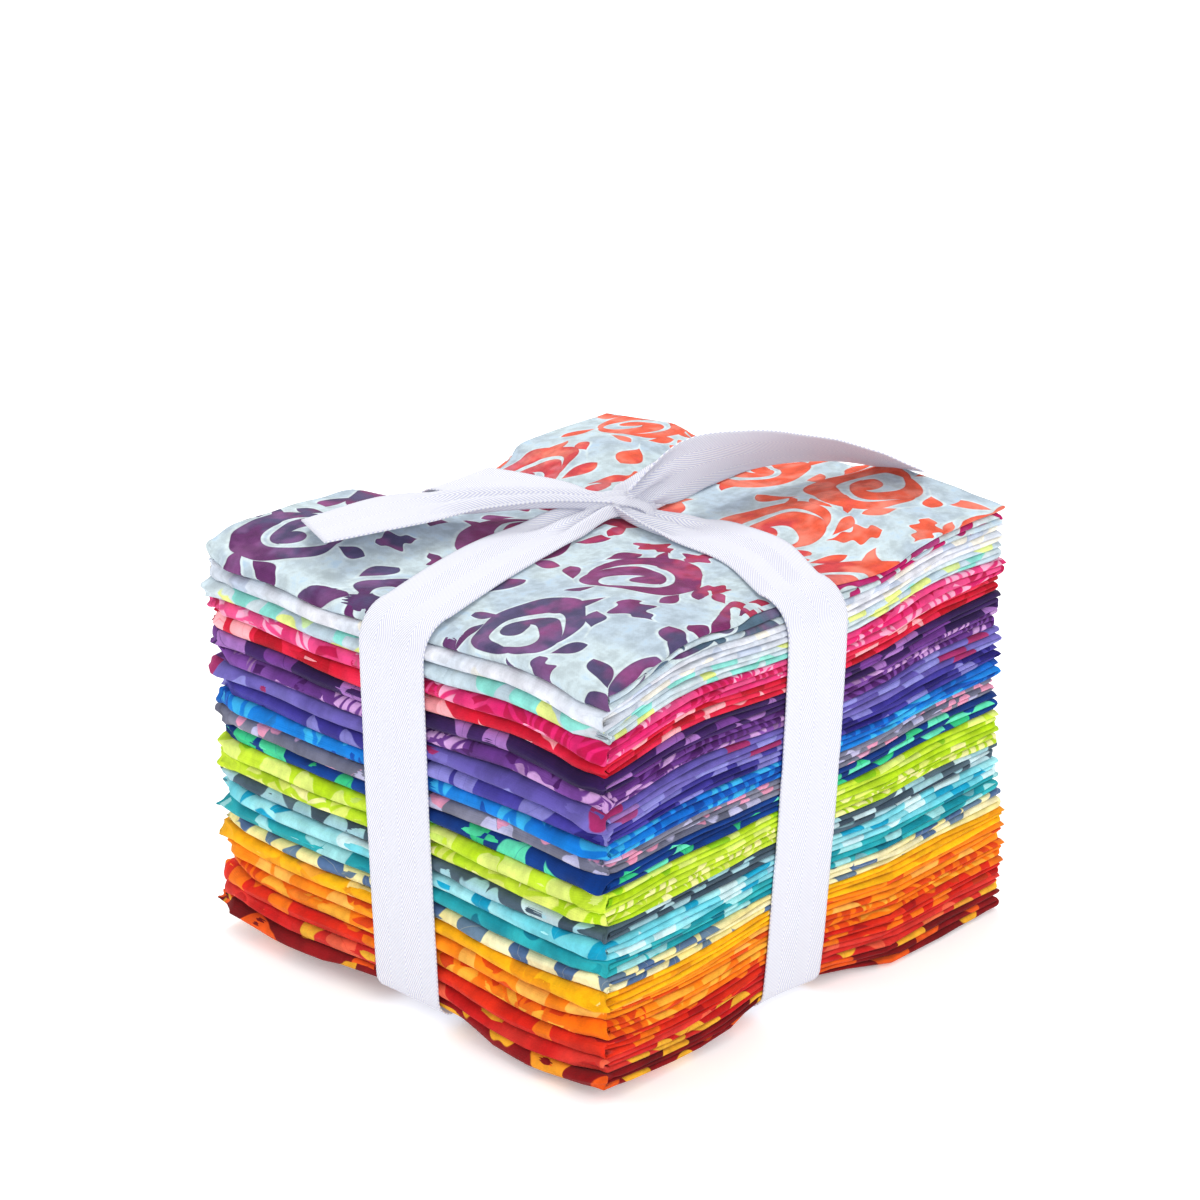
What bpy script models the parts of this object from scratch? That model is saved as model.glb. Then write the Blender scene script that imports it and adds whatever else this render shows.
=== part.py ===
"""A bundle of twenty-four fat quarters of quilting cotton, each folded into a thick oblong, stacked
and tied crosswise with one flat ribbon that is knotted on top and leaves two free ends.

Metres, +Z up. The origin lies on the surface under the stack, below the middle of its plan.
The big round folds of the quarters face -Y, and the layered ends of their folds face +X and -X."""

import math

import bmesh
import bpy
import numpy as np
from mathutils import Vector

MM = 0.001
INCH = 0.0254

# A fat quarter is folded in four across its width, and the strip is then folded in three.
CUT_WIDTH = 22 * INCH
CUT_LENGTH = 18 * INCH
LAYERS = 3
HALF_X = CUT_WIDTH / 4 / 2
HALF_Y = CUT_LENGTH / LAYERS / 2

# One layer of a quarter is four plies of cotton with the air between them.
PITCH = 1.5 * MM
LAYER_THICKNESS = 1.08 * MM

# The round folds, measured to the middle of the layer.
NOSE_REACH = 2.0 * MM
TUCK_REACH = 0.9 * MM
FLAP_SETBACK = 5.0 * MM
NOSE_STEPS = 4
TUCK_STEPS = 3

# Plan stations. The stack is level between the two middle ones, where the ribbon presses on it.
STATIONS_X = tuple(v * MM for v in (-69.85, -42, -22, 13, 42, 69.85))
STATIONS_Y = tuple(v * MM for v in (-76.2, -44, -12, 22, 46, 76.2))
STATIONS = {"X": STATIONS_X, "Y": STATIONS_Y}
HALF = {"X": HALF_X, "Y": HALF_Y}

# Height in mm of the top of the stack. A column for each station along X, the middle one used twice.
TOP = {
    #             left  left_mid  middle  right_mid  right
    "front":     (107.5, 108.0, 106.5, 109.5, 104.5),
    "front_mid": (111.5, 113.5, 109.5, 113.5, 112.0),
    "middle":    (106.0, 109.0, 109.5, 110.5, 108.8),
    "back_mid":  (108.0, 112.5, 111.2, 115.5, 113.0),
    "back":      (108.5, 111.5, 112.0, 116.0, 113.5),
}
# Height in mm of the underside, which the ribbon lifts at the middle of each side.
UNDERSIDE = {
    #             left  left_mid  middle  right_mid  right
    "front":     (7.5, 5.0, 5.5, 2.6, 4.3),
    "front_mid": (5.0, 1.8, 1.4, 1.5, 2.0),
    "middle":    (5.5, 1.4, 1.4, 1.4, 5.0),
    "back_mid":  (3.0, 1.5, 1.4, 1.0, 0.8),
    "back":      (5.0, 3.0, 4.5, 1.0, 1.0),
}
MEAN_TOP = 110 * MM
MEAN_UNDERSIDE = 1.4 * MM
SETTLING = 1.5

# The ribbon draws the sides in by this much, and rounds the edges that it turns over.
PINCH = 0.8 * MM
TOP_ROUND = 9 * MM
FOOT_ROUND = 5 * MM

# Each quarter from the top down: its main colour, and how far its sides stand out from the plan in mm.
QUARTERS = (
    # colour,               left, right, front, back
    ((0.62, 0.70, 0.76), -0.4, 0.3, 0.2, -0.6),
    ((0.72, 0.75, 0.82), 0.9, 0.0, 0.4, -0.4),
    ((0.66, 0.76, 0.82), 0.5, -0.4, 0.0, 0.0),
    ((0.80, 0.16, 0.40), 0.3, 0.4, 0.2, 0.6),
    ((0.72, 0.04, 0.12), 0.2, -0.3, -0.2, -0.2),
    ((0.06, 0.02, 0.12), -0.6, 0.2, 0.1, 0.8),
    ((0.30, 0.12, 0.42), -1.6, -0.2, -0.4, 0.2),
    ((0.17, 0.12, 0.48), -1.2, 0.5, 0.3, 0.6),
    ((0.10, 0.08, 0.42), -1.5, 0.1, -0.1, 0.0),
    ((0.02, 0.24, 0.62), -2.6, 0.4, 0.3, 0.4),
    ((0.34, 0.32, 0.42), -1.9, -0.5, -0.3, -0.8),
    ((0.01, 0.12, 0.40), -2.4, 0.0, -0.5, 0.9),
    ((0.45, 0.70, 0.04), -2.4, 0.6, 0.5, 0.6),
    ((0.56, 0.74, 0.10), -2.8, 0.3, 0.2, 1.0),
    ((0.12, 0.18, 0.24), -2.3, -0.4, -0.3, 0.8),
    ((0.28, 0.66, 0.76), -2.3, 0.2, 0.2, 1.6),
    ((0.03, 0.44, 0.50), -2.0, -0.1, 0.0, 2.4),
    ((0.80, 0.74, 0.52), -3.0, 0.4, -0.2, 3.2),
    ((0.92, 0.56, 0.05), -1.4, 0.2, 0.6, 3.4),
    ((0.90, 0.30, 0.02), -4.6, -0.6, -0.4, 3.0),
    ((0.88, 0.24, 0.02), -5.2, -0.2, -0.6, 2.8),
    ((0.74, 0.03, 0.03), -1.8, 0.3, 0.3, 1.6),
    ((0.72, 0.05, 0.04), -2.2, -0.2, 0.0, 0.8),
    ((0.40, 0.02, 0.04), 1.0, 0.4, 0.4, 0.0),
)
COUNT = len(QUARTERS)
STACK = COUNT * LAYERS * PITCH

# The ribbon, 7/8 inch wide, and its clearances to the cloth above and below.
RIBBON_WIDTH = 22.2 * MM
RIBBON_THICKNESS = 1.0 * MM
TOP_LIFT = 1.1 * MM
FOOT_LIFT = 0.9 * MM
TURN_STEPS = 4
RIBBON_COLOUR = (0.86, 0.86, 0.90)

# The two loops. Where each crosses the low and the high side, how far it lies above the other one under
# the stack, and its run over the top in mm: place along the loop, place across it, width, and height over
# the cloth. The gap in each run is the knot.
LOOPS = {
    "front_to_back": {
        "along": "Y",
        "low_side": 2.0,
        "high_side": -13.0,
        "over_other": 0.0,
        "low_run": (
            # along, across, width, lift
            (-44, -3.5, 22.2, 1.5),
            (-22, -7.5, 20, 2.2),
            (-6, -7.0, 15, 3.2),
            (5, -4.5, 10, 4.2),
        ),
        "high_run": (
            (46, -12.5, 22.2, 1.5),
            (26, -9.5, 17, 2.6),
            (13, -5.0, 10, 4.2),
        ),
    },
    "left_to_right": {
        "along": "X",
        "low_side": 10.0,
        "high_side": 0.0,
        "over_other": 0.1,
        "low_run": (
            (-42, 10.5, 21, 1.4),
            (-24, 12.0, 16, 2.4),
            (-8, 9.5, 10, 4.2),
        ),
        "high_run": (
            (42, 11.0, 22.2, 1.4),
            (25, 13.5, 20, 1.8),
            (12, 12.0, 15, 3.0),
            (1, 9.0, 10, 4.2),
        ),
    },
}
# The free ends in mm and degrees, from the knot out. Tilt lifts the edge on the right of the run.
TAILS = {
    "left_tail": (
        # x, y, z, width, tilt
        (-5.5, 6, 114.5, 8, 0),
        (-17.5, -7, 116.0, 11.5, 4),
        (-27.5, -24, 116.8, 15, 8),
        (-34, -42, 117.2, 20, 4),
        (-41, -62.5, 115.6, 22.2, -4),
    ),
    "right_tail": (
        (-1, 10, 115.0, 8, 60),
        (8, 18, 122.3, 18, 76),
        (13.5, 33, 124.6, 21, 55),
        (19, 47.5, 124.3, 22.2, 39),
        (28, 58.5, 123.4, 22.2, 32),
        (38, 66, 121.2, 22.2, 28),
        (46.5, 71.5, 119.0, 22.2, 20),
    ),
}
KNOT_CENTRE = Vector((-3.2, 9.2, 114.2)) * MM
KNOT_RADII = (9.5 * MM, 7 * MM, 4.2 * MM)
KNOT_SEGMENTS = 14
KNOT_RINGS = 8


def clear_scene():
    for old in list(bpy.data.objects):
        bpy.data.objects.remove(old, do_unlink=True)


def collection(name):
    found = bpy.data.collections.new(name)
    bpy.context.scene.collection.children.link(found)
    return found


def cloth_material(name, colour, roughness):
    material = bpy.data.materials.new(name)
    material.use_nodes = True
    shader = material.node_tree.nodes["Principled BSDF"]
    shader.inputs["Base Color"].default_value = (*colour, 1)
    shader.inputs["Roughness"].default_value = roughness
    shader.inputs["Metallic"].default_value = 0
    return material


def height(table, x, y):
    """Height of the top or the underside at a place in plan, with straight lines between stations."""
    rows = []
    for row in table.values():
        left, left_mid, middle, right_mid, right = row
        rows.append(np.interp(x, STATIONS_X, (left, left_mid, middle, middle, right_mid, right)))
    front, front_mid, middle, back_mid, back = rows
    return np.interp(y, STATIONS_Y, (front, front_mid, middle, middle, back_mid, back)) * MM


def held(place, stations):
    """1 where the ribbon presses on a side, falling to 0 at the stations on both sides of it."""
    return float(np.interp(place, stations[1:5], (0, 1, 1, 0)))


def rounding(depth, radius):
    """How far an edge of this radius is drawn in at a depth below its top."""
    if depth >= radius:
        return 0.0
    rise = radius - max(depth, 0.0)
    return radius - math.sqrt(radius * radius - rise * rise)


def drawn_in(x, y, z):
    """How far the ribbon draws a side in at this height."""
    below_top = height(TOP, x, y) - z
    above_foot = z - height(UNDERSIDE, x, y)
    return PINCH + rounding(below_top, TOP_ROUND) + rounding(above_foot, FOOT_ROUND)


def side_shift(stands_out, grip, pull):
    return (1 - grip) * stands_out * MM - grip * pull


def settled(point, sides):
    """Moves a point of the plain, square stack to its place in the tied one."""
    x, y, z = point
    left, right, front, back = sides
    level = z / STACK
    top_sag = height(TOP, x, y) - MEAN_TOP
    foot_sag = height(UNDERSIDE, x, y) - MEAN_UNDERSIDE
    new_z = MEAN_UNDERSIDE + level * (MEAN_TOP - MEAN_UNDERSIDE)
    new_z += top_sag * level**SETTLING + foot_sag * (1 - level) ** SETTLING
    pull = drawn_in(x, y, new_z)
    reach_x = float(np.interp(abs(x), (STATIONS_X[4], HALF_X), (0, 1)))
    reach_y = float(np.interp(abs(y), (STATIONS_Y[4], HALF_Y), (0, 1)))
    shift_x = side_shift(left if x < 0 else right, held(y, STATIONS_Y), pull)
    shift_y = side_shift(front if y < 0 else back, held(x, STATIONS_X), pull)
    new_x = x + math.copysign(1, x) * reach_x * shift_x
    new_y = y + math.copysign(1, y) * reach_y * shift_y
    return Vector((new_x, new_y, new_z))


def half_turn(y, low, high, reach, steps):
    """Points between the ends of a round fold that rises or falls from low to high, bulging by reach."""
    middle = (low + high) / 2
    radius = (high - low) / 2
    found = []
    for i in range(1, steps):
        angle = math.pi * i / steps
        found.append((y + reach * math.sin(angle), middle - radius * math.cos(angle)))
    return found


def section_line():
    """The line, in Y and Z, along which one quarter folds back and forth: inner flap, bottom, top flap."""
    bottom = PITCH / 2
    middle = bottom + PITCH
    top = middle + PITCH
    nose_y = -HALF_Y + LAYER_THICKNESS / 2 + NOSE_REACH
    tuck_y = HALF_Y - LAYER_THICKNESS / 2 - TUCK_REACH
    inner = STATIONS_Y[1:5]
    line = [(y, middle) for y in (-HALF_Y + FLAP_SETBACK, *inner, tuck_y)]
    line += half_turn(tuck_y, middle, bottom, TUCK_REACH, TUCK_STEPS)
    line += [(y, bottom) for y in (tuck_y, *reversed(inner), nose_y)]
    line += half_turn(nose_y, bottom, top, -NOSE_REACH, NOSE_STEPS)
    line += [(y, top) for y in (nose_y, *inner, HALF_Y)]
    return line


def grid(columns, rows):
    """A bmesh grid whose vertices are set, row by row, to the points given."""
    bm = bmesh.new()
    bmesh.ops.create_grid(bm, x_segments=columns - 1, y_segments=len(rows) - 1, size=0.5)
    bm.verts.ensure_lookup_table()
    for index, vertex in enumerate(bm.verts):
        vertex.co = rows[index // columns][index % columns]
    return bm


def split_outwards(bm):
    """Splits each four-sided face from its corner nearest the middle of the plan to the opposite one."""
    for face in list(bm.faces):
        corners = list(face.verts)
        near = min(corners, key=lambda v: round(abs(v.co.x) + abs(v.co.y), 6))
        far = corners[(corners.index(near) + 2) % 4]
        bmesh.utils.face_split(face, near, far)


def thickened(name, bm, thickness):
    """The mesh of an open surface made solid, half to each side."""
    mesh = bpy.data.meshes.new(name)
    bm.to_mesh(mesh)
    bm.free()
    sheet = bpy.data.objects.new(name, mesh)
    bpy.context.scene.collection.objects.link(sheet)
    solidify = sheet.modifiers.new("thickness", "SOLIDIFY")
    solidify.thickness = thickness
    solidify.offset = 0
    solidify.use_even_offset = True
    bpy.context.view_layer.update()
    graph = bpy.context.evaluated_depsgraph_get()
    solid = bpy.data.meshes.new_from_object(sheet.evaluated_get(graph))
    bpy.data.objects.remove(sheet)
    bpy.data.meshes.remove(mesh)
    solid.name = name
    return solid


def folded_section():
    """One quarter's folded section, square and plain, with its underside at Z 0."""
    rows = [[Vector((x, y, z)) for x in STATIONS_X] for y, z in section_line()]
    bm = grid(len(STATIONS_X), rows)
    split_outwards(bm)
    return thickened("folded_section", bm, LAYER_THICKNESS)


def fat_quarter(number, section, row, bundle):
    colour, *sides = row
    name = f"fat_quarter_{number:02d}"
    mesh = section.copy()
    mesh.name = name
    foot = (COUNT - number) * LAYERS * PITCH
    for vertex in mesh.vertices:
        raised = vertex.co + Vector((0, 0, foot))
        vertex.co = settled(raised, sides)
    mesh.materials.append(cloth_material(name, colour, 0.9))
    quarter = bpy.data.objects.new(name, mesh)
    bundle.objects.link(quarter)
    return quarter


def in_plan(along, place, across, z):
    """A point of a loop that runs along X or Y."""
    return Vector((place, across, z)) if along == "X" else Vector((across, place, z))


def turn(along, side, across, table, radius, lift):
    """The points where one edge of a loop turns over the top or the foot of a side, from flat to upright."""
    start = side * (HALF[along] - PINCH - radius)
    level = in_plan(along, side * (HALF[along] - radius), across, 0)
    cloth = height(table, level.x, level.y)
    upwards = 1 if table is TOP else -1
    found = []
    for i in range(TURN_STEPS + 1):
        angle = math.pi / 2 * i / TURN_STEPS
        out = start + side * (radius + lift) * math.sin(angle)
        rise = (radius + lift) * math.cos(angle) - radius
        found.append(in_plan(along, out, across, cloth + upwards * rise))
    return found


def run_points(along, run, edge):
    """The points of one edge of a loop's run over the top."""
    found = []
    for place, across, width, lift in run:
        at_edge = (across + edge * width / 2) * MM
        flat = in_plan(along, place * MM, at_edge, 0)
        middle = in_plan(along, place * MM, across * MM, 0)
        cloth = max(height(TOP, flat.x, flat.y), height(TOP, middle.x, middle.y))
        found.append(in_plan(along, place * MM, at_edge, cloth + lift * MM))
    return found


def loop_edge(loop, edge):
    """One edge of a loop, from the knot down one side, under the stack and up the other side."""
    along = loop["along"]
    found = []
    for side, name in ((-1, "low"), (1, "high")):
        across = loop[f"{name}_side"] * MM + edge * RIBBON_WIDTH / 2
        over = turn(along, side, across, TOP, TOP_ROUND, TOP_LIFT)
        under = turn(along, side, across, UNDERSIDE, FOOT_ROUND, FOOT_LIFT)
        run = run_points(along, loop[f"{name}_run"], edge)
        found.append(run[::-1] + over + under[::-1])
    low, high = found
    beneath = []
    for place in STATIONS[along][1:5]:
        share = (place + HALF[along]) / (2 * HALF[along])
        centre = loop["low_side"] + share * (loop["high_side"] - loop["low_side"])
        across = centre * MM + edge * RIBBON_WIDTH / 2
        under = in_plan(along, place, across, 0)
        foot = height(UNDERSIDE, under.x, under.y) - FOOT_LIFT + loop["over_other"] * MM
        beneath.append(in_plan(along, place, across, foot))
    return low + beneath + high[::-1]


def tail_rows(stations):
    """Pairs of edge points for a free end."""
    centres = [Vector((x, y, z)) * MM for x, y, z, _, _ in stations]
    rows = []
    for i, (_, _, _, width, tilt) in enumerate(stations):
        heading = centres[min(i + 1, len(centres) - 1)] - centres[max(i - 1, 0)]
        heading.z = 0
        heading.normalize()
        level = Vector((heading.y, -heading.x, 0))
        across = level * math.cos(math.radians(tilt)) + Vector((0, 0, math.sin(math.radians(tilt))))
        half_across = across * width / 2 * MM
        rows.append((centres[i] - half_across, centres[i] + half_across))
    return rows


def ribbon_piece(name, rows, guides):
    """One length of ribbon as a hidden helper that is joined to the others."""
    piece = bpy.data.objects.new(name, thickened(name, grid(2, rows), RIBBON_THICKNESS))
    guides.objects.link(piece)
    piece.hide_render = True
    piece.display_type = "WIRE"
    return piece


def knot(name, bundle):
    """The hard little lump of the knot, which everything else of the ribbon is joined to."""
    bm = bmesh.new()
    bmesh.ops.create_uvsphere(bm, u_segments=KNOT_SEGMENTS, v_segments=KNOT_RINGS, radius=1)
    for vertex in bm.verts:
        vertex.co = Vector(a * b for a, b in zip(vertex.co, KNOT_RADII)) + KNOT_CENTRE
    mesh = bpy.data.meshes.new(name)
    bm.to_mesh(mesh)
    bm.free()
    lump = bpy.data.objects.new(name, mesh)
    bundle.objects.link(lump)
    return lump


def tied_ribbon(bundle, guides):
    """The whole ribbon as one solid: two loops and two free ends, joined at the knot."""
    lengths = {}
    for name, loop in LOOPS.items():
        lengths[name] = list(zip(loop_edge(loop, -1), loop_edge(loop, 1)))
    for name, stations in TAILS.items():
        lengths[name] = tail_rows(stations)
    ribbon = knot("ribbon", bundle)
    for name, rows in lengths.items():
        piece = ribbon_piece(name, rows, guides)
        union = ribbon.modifiers.new("with_" + piece.name, "BOOLEAN")
        union.operation = "UNION"
        union.solver = "EXACT"
        union.object = piece
    ribbon.data.materials.append(cloth_material("ribbon", RIBBON_COLOUR, 0.75))
    return ribbon


def main():
    clear_scene()
    bundle = collection("fat_quarter_bundle")
    guides = collection("ribbon_lengths")
    section = folded_section()
    for number, row in enumerate(QUARTERS, start=1):
        fat_quarter(number, section, row, bundle)
    tied_ribbon(bundle, guides)


main()
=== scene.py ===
"""A tied stack of folded fat quarters, dressed: every quarter is its real cut of cotton, folded ply by
ply, and the ribbon is a length of twill tape that is gathered and wrapped at its knot.

Metres, +Z up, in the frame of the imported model. Lengths in the tables are millimetres."""

import itertools
import math

import bmesh
import bpy
import numpy as np
from bpy.props import BoolProperty, FloatProperty, FloatVectorProperty, PointerProperty
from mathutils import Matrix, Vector


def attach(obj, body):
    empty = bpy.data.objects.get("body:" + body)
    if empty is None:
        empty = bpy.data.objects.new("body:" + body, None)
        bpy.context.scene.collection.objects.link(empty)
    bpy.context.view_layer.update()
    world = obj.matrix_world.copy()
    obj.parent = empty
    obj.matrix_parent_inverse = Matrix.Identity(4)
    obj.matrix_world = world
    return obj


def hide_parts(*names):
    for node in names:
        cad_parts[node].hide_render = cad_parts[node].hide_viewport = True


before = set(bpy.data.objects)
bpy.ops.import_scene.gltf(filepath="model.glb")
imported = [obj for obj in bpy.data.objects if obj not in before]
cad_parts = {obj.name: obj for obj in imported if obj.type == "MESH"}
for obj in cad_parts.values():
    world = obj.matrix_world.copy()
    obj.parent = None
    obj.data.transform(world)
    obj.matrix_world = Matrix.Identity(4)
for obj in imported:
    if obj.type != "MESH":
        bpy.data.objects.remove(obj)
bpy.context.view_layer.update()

bl_info = {
    "name": "Fat quarter bundle",
    "version": (1, 0, 0),
    "blender": (4, 5, 0),
    "location": "3D View > Sidebar > Bundle",
    "description": "Folds, prints and ties a stack of fat quarters",
    "category": "Object",
}

MM = 0.001
INCH = 25.4 * MM
LIGHT_LEVEL = 1.24
DYE_DEPTH = 1.13

# The cut, and the oblong that it is folded into: in four across its width, then in three.
CUT_WIDTH = 22 * INCH
CUT_LENGTH = 18 * INCH
LAYERS = 3
HALF_X = CUT_WIDTH / 4 / 2
HALF_Y = CUT_LENGTH / LAYERS / 2
COUNT = 24
PITCH = 1.5 * MM
QUARTER_HEIGHT = LAYERS * PITCH
STACK = COUNT * QUARTER_HEIGHT

# Where the four plies of a layer lie above and below its middle, and the layer's round folds.
OUTER_PLY = 0.66 * MM
INNER_PLY = 0.22 * MM
INNER_SETBACK = 0.5 * MM
NOSE_REACH = 2.0 * MM
TUCK_REACH = 0.9 * MM
FLAP_SETBACK = 3.0 * MM

# Plan stations for the heights. The stack is level between the two middle ones.
STATIONS_X = tuple(v * MM for v in (-69.85, -42, -22, 13, 42, 69.85))
STATIONS_Y = tuple(v * MM for v in (-76.2, -44, -12, 22, 46, 76.2))
TOP = (
    # left, left_mid, middle, right_mid, right: from the front row to the back row
    (107.5, 108.0, 106.5, 109.5, 104.5),
    (111.5, 113.5, 109.5, 113.5, 112.0),
    (106.0, 109.0, 109.5, 110.5, 108.8),
    (106.0, 109.0, 109.5, 110.5, 108.8),
    (108.0, 112.5, 111.2, 115.5, 113.0),
    (108.5, 111.5, 112.0, 116.0, 113.5),
)
UNDERSIDE = (
    (7.5, 5.0, 5.5, 2.6, 4.3),
    (5.0, 1.8, 1.4, 1.5, 2.0),
    (5.5, 1.4, 1.4, 1.4, 4.2),
    (5.5, 1.4, 1.4, 1.0, 0.9),
    (3.0, 1.5, 1.4, 1.0, 0.8),
    (5.0, 3.0, 4.5, 1.0, 0.9),
)
MEAN_TOP = 110 * MM
MEAN_UNDERSIDE = 1.4 * MM
SETTLING = 1.5
# How far the lowest quarters spread out at the back of the right side.
SPLAY = 4.0 * MM
SPLAY_FROM = 9 * MM

# Where the ribbon runs down the sides, and how it draws the cloth in there.
RIBBON_X_FRONT = 2 * MM
RIBBON_X_BACK = -13 * MM
RIBBON_Y_LEFT = 10 * MM
RIBBON_Y_RIGHT = 0 * MM
RIBBON_WIDTH = 22.2 * MM
PINCH = 0.8 * MM
PINCH_FADE = 20 * MM
TOP_ROUND = 9 * MM
FOOT_ROUND = 5 * MM

# How unevenly the cloth lies: size in mm, then the grain in mm along X, Y and Z.
THICK_AND_THIN = (0.42, (38, 42, 4.5))
PLY_WAVES = (0.07, (14, 14, 1.5))
SIDE_WAVES = (0.75, (24, 26, 1.5))
SIDE_RIPPLES = (0.22, (5, 5.5, 1.5))
NOSE_SWELL = (0.8, 0.35)
NOSE_GRAIN = (34, 9)
NOSE_LEAN = 0.32
CORNER_LENGTH = (3.5, 9.0)
CORNER_PRESSED = (0.2, 3.0)
CORNER_LEAN = 0.95
CRUMPLE = (2.9, (6.0, 5.0, 2.8))
CRUMPLED = (12.0, 10.0)
TOP_RELIEF = (0.35, (17, 21, 50))

# Soft ridges and troughs in the top quarter in mm: from x, y to x, y, half width and height.
CREASES = (
    # from x, y, to x, y, half width, height
    (-2, 4, 24, -28, 5.0, 1.5),
    (-14, -4, -38, -30, 4.0, 0.9),
    (14, 22, 52, 44, 6.0, 0.8),
    (-12, 20, -46, 48, 6.0, 0.9),
    (-18, 14, -52, 24, 4.0, -0.6),
    (12, 4, 46, -16, 4.5, -0.6),
    (6, -8, 12, -50, 4.5, -0.7),
    (30, -60, 66, -34, 5.0, -0.9),
    (-62, -38, -30, -66, 5.0, -0.6),
    (-70, -22, -56, -18, 9.0, 2.6),
    (14, 78, 20, 78, 11.0, 2.3),
    (35, 79, 40, 79, 11.0, 2.4),
    (-70, -64, -60, -60, 10.0, 2.2),
)

# Each quarter from the top down: how its sides stand out in mm, and its cloth. Colours are as seen
# in white light, from 0 to 255: two of the dyed ground, then two of the figures on it.
QUARTERS = (
    # left, right, front, back, figure, size of figure in mm, ground, ground, figure, figure
    (-0.4, 0.3, 0.2, -0.6, "scrolls", 43, (188, 203, 215), (204, 218, 223), (110, 50, 108), (236, 92, 72)),
    (0.9, 0.0, 0.4, -0.4, "blots", 13, (214, 221, 232), (232, 233, 241), (243, 238, 226), (196, 206, 224)),
    (0.5, -0.4, 0.0, 0.0, "blots", 14, (194, 212, 223), (214, 226, 231), (150, 225, 215), (229, 238, 150)),
    (0.3, 0.4, 0.2, 0.6, "stripes", 11, (226, 38, 120), (238, 92, 150), (251, 176, 206), (196, 10, 84)),
    (0.2, -0.3, -0.2, -0.2, "petals", 16, (212, 18, 58), (232, 48, 88), (252, 184, 190), (186, 0, 40)),
    (-0.6, 0.2, 0.1, 0.8, "petals", 19, (50, 24, 82), (68, 34, 102), (170, 122, 192), (122, 66, 150)),
    (-1.6, -0.2, -0.4, 0.2, "stripes", 10, (108, 58, 140), (136, 84, 168), (210, 166, 220), (84, 30, 108)),
    (-1.2, 0.5, 0.3, 0.6, "blots", 16, (104, 92, 172), (124, 114, 190), (168, 50, 112), (150, 148, 216)),
    (-1.5, 0.1, -0.1, 0.0, "petals", 15, (66, 58, 152), (84, 76, 170), (142, 138, 208), (40, 30, 120)),
    (-2.6, 0.4, 0.3, 0.4, "stripes", 18, (0, 116, 206), (18, 138, 222), (64, 182, 232), (0, 88, 178)),
    (-1.9, -0.5, -0.3, -0.8, "blots", 8, (116, 118, 138), (140, 140, 158), (234, 162, 190), (198, 196, 226)),
    (-2.4, 0.0, -0.5, 0.9, "petals", 17, (0, 72, 150), (0, 58, 128), (60, 200, 140), (112, 230, 192)),
    (-2.4, 0.6, 0.5, 0.6, "blots", 12, (188, 222, 16), (206, 232, 66), (226, 240, 132), (148, 204, 18)),
    (-2.8, 0.3, 0.2, 1.0, "stripes", 13, (182, 216, 28), (202, 226, 60), (245, 242, 172), (226, 236, 122)),
    (-2.3, -0.4, -0.3, 0.8, "blots", 15, (68, 86, 102), (92, 112, 126), (166, 206, 216), (202, 225, 230)),
    (-2.3, 0.2, 0.2, 1.6, "petals", 13, (118, 212, 226), (170, 230, 236), (0, 168, 204), (216, 243, 246)),
    (-2.0, -0.1, 0.0, 2.4, "blots", 13, (0, 150, 166), (58, 188, 194), (170, 226, 228), (0, 128, 150)),
    (-3.0, 0.4, -0.2, 3.2, "petals", 13, (249, 241, 198), (244, 230, 160), (92, 120, 160), (112, 136, 158)),
    (-1.4, 0.2, 0.6, 3.4, "petals", 18, (255, 198, 8), (250, 182, 0), (253, 224, 144), (240, 160, 0)),
    (-4.6, -0.6, -0.4, 3.0, "blots", 15, (251, 142, 8), (255, 160, 30), (232, 92, 10), (255, 192, 92)),
    (-5.2, -0.2, -0.6, 2.8, "stripes", 16, (246, 122, 0), (251, 150, 18), (224, 78, 8), (250, 182, 62)),
    (-1.8, 0.3, 0.3, 1.6, "blots", 10, (214, 34, 18), (228, 58, 28), (246, 130, 20), (180, 18, 18)),
    (-2.2, -0.2, 0.0, 0.8, "petals", 16, (206, 28, 28), (226, 66, 56), (240, 110, 80), (246, 190, 60)),
    (1.0, 0.4, 0.4, 0.0, "blots", 18, (152, 16, 26), (122, 10, 20), (236, 100, 30), (242, 182, 50)),
)

# The top print's scroll in shares of its size, the leaves on it, the round end, and how it is scattered.
STROKES = (
    # middle x, y, radius, facing in degrees, half length in degrees, half width
    (0.0, 0.0, 0.3, 100, 158, 0.094),
    (0.064, -0.077, 0.19, -160, 142, 0.078),
    (-0.36, 0.34, 0.24, -60, 62, 0.055),
)
LEAVES = (
    # x, y, facing in degrees, half length, half width
    (0.27, 0.36, 20, 0.13, 0.06),
    (0.4, 0.16, -35, 0.11, 0.055),
    (-0.38, -0.12, 118, 0.12, 0.05),
    (-0.14, -0.4, -170, 0.13, 0.055),
    (0.3, -0.34, -62, 0.12, 0.06),
)
EYE = (0.08, 0.03, 0.092)
SCATTER = 0.3
FILLER = 0.36
FILLER_CLEAR = 0.5
PRINT_SHIFT = 71.0
# The inks: how far back each one starts, in shares of the top's length, and its colour.
INKS = (
    (0.0, (106, 52, 108)),
    (0.1, (90, 82, 120)),
    (0.25, (130, 48, 106)),
    (0.5, (182, 50, 84)),
    (0.62, (212, 78, 82)),
    (0.75, (236, 102, 72)),
)
INK_STEPS = ((0.02, 0.12), (0.2, 0.34), (0.46, 0.56), (0.6, 0.68), (0.72, 0.86))
SIDE_INKS = ((86, 112, 132), (190, 24, 108))

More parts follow.
